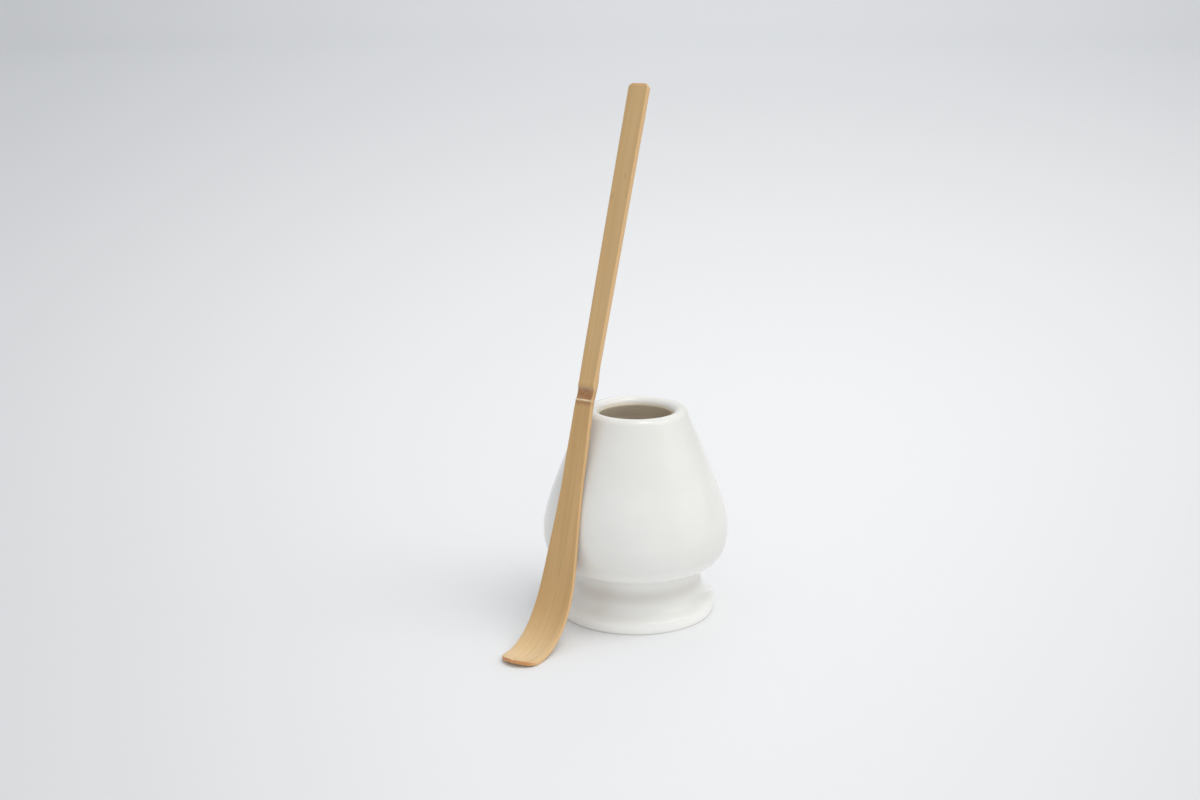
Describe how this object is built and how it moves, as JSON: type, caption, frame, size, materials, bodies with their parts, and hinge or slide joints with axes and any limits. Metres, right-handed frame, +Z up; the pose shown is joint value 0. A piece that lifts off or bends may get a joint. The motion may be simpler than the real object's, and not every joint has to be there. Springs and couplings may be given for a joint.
{
  "type": "tea whisk holder with bamboo scoop",
  "caption": "White glazed ceramic holder for a matcha whisk, a hollow bell on a waisted foot, with a curled bamboo tea scoop leaning on its shoulder.",
  "frame": {"origin": "middle of the pair's footprint box, on the surface that the foot and the toe stand on", "axes": "+Z up along the holder's axis; the scoop stands on the -X, -Y side, with its face towards -Y and its curled toe pointing away from the holder"},
  "size_m": [0.0646, 0.0744, 0.1544],
  "materials": {
    "white_glaze": "glossy, slightly warm white glaze",
    "bamboo": "satin, heat-bent and lightly oiled bamboo"
  },
  "bodies": {
    "holder": {"whisk_holder": "white_glaze"},
    "scoop": {"tea_scoop": "bamboo"}
  },
  "joints": [
    {"name": "scoop_lift", "type": "slide", "parent": "holder", "child": "scoop", "axis": [0, 0, 1], "range_m": [0, 0.08]}
  ]
}
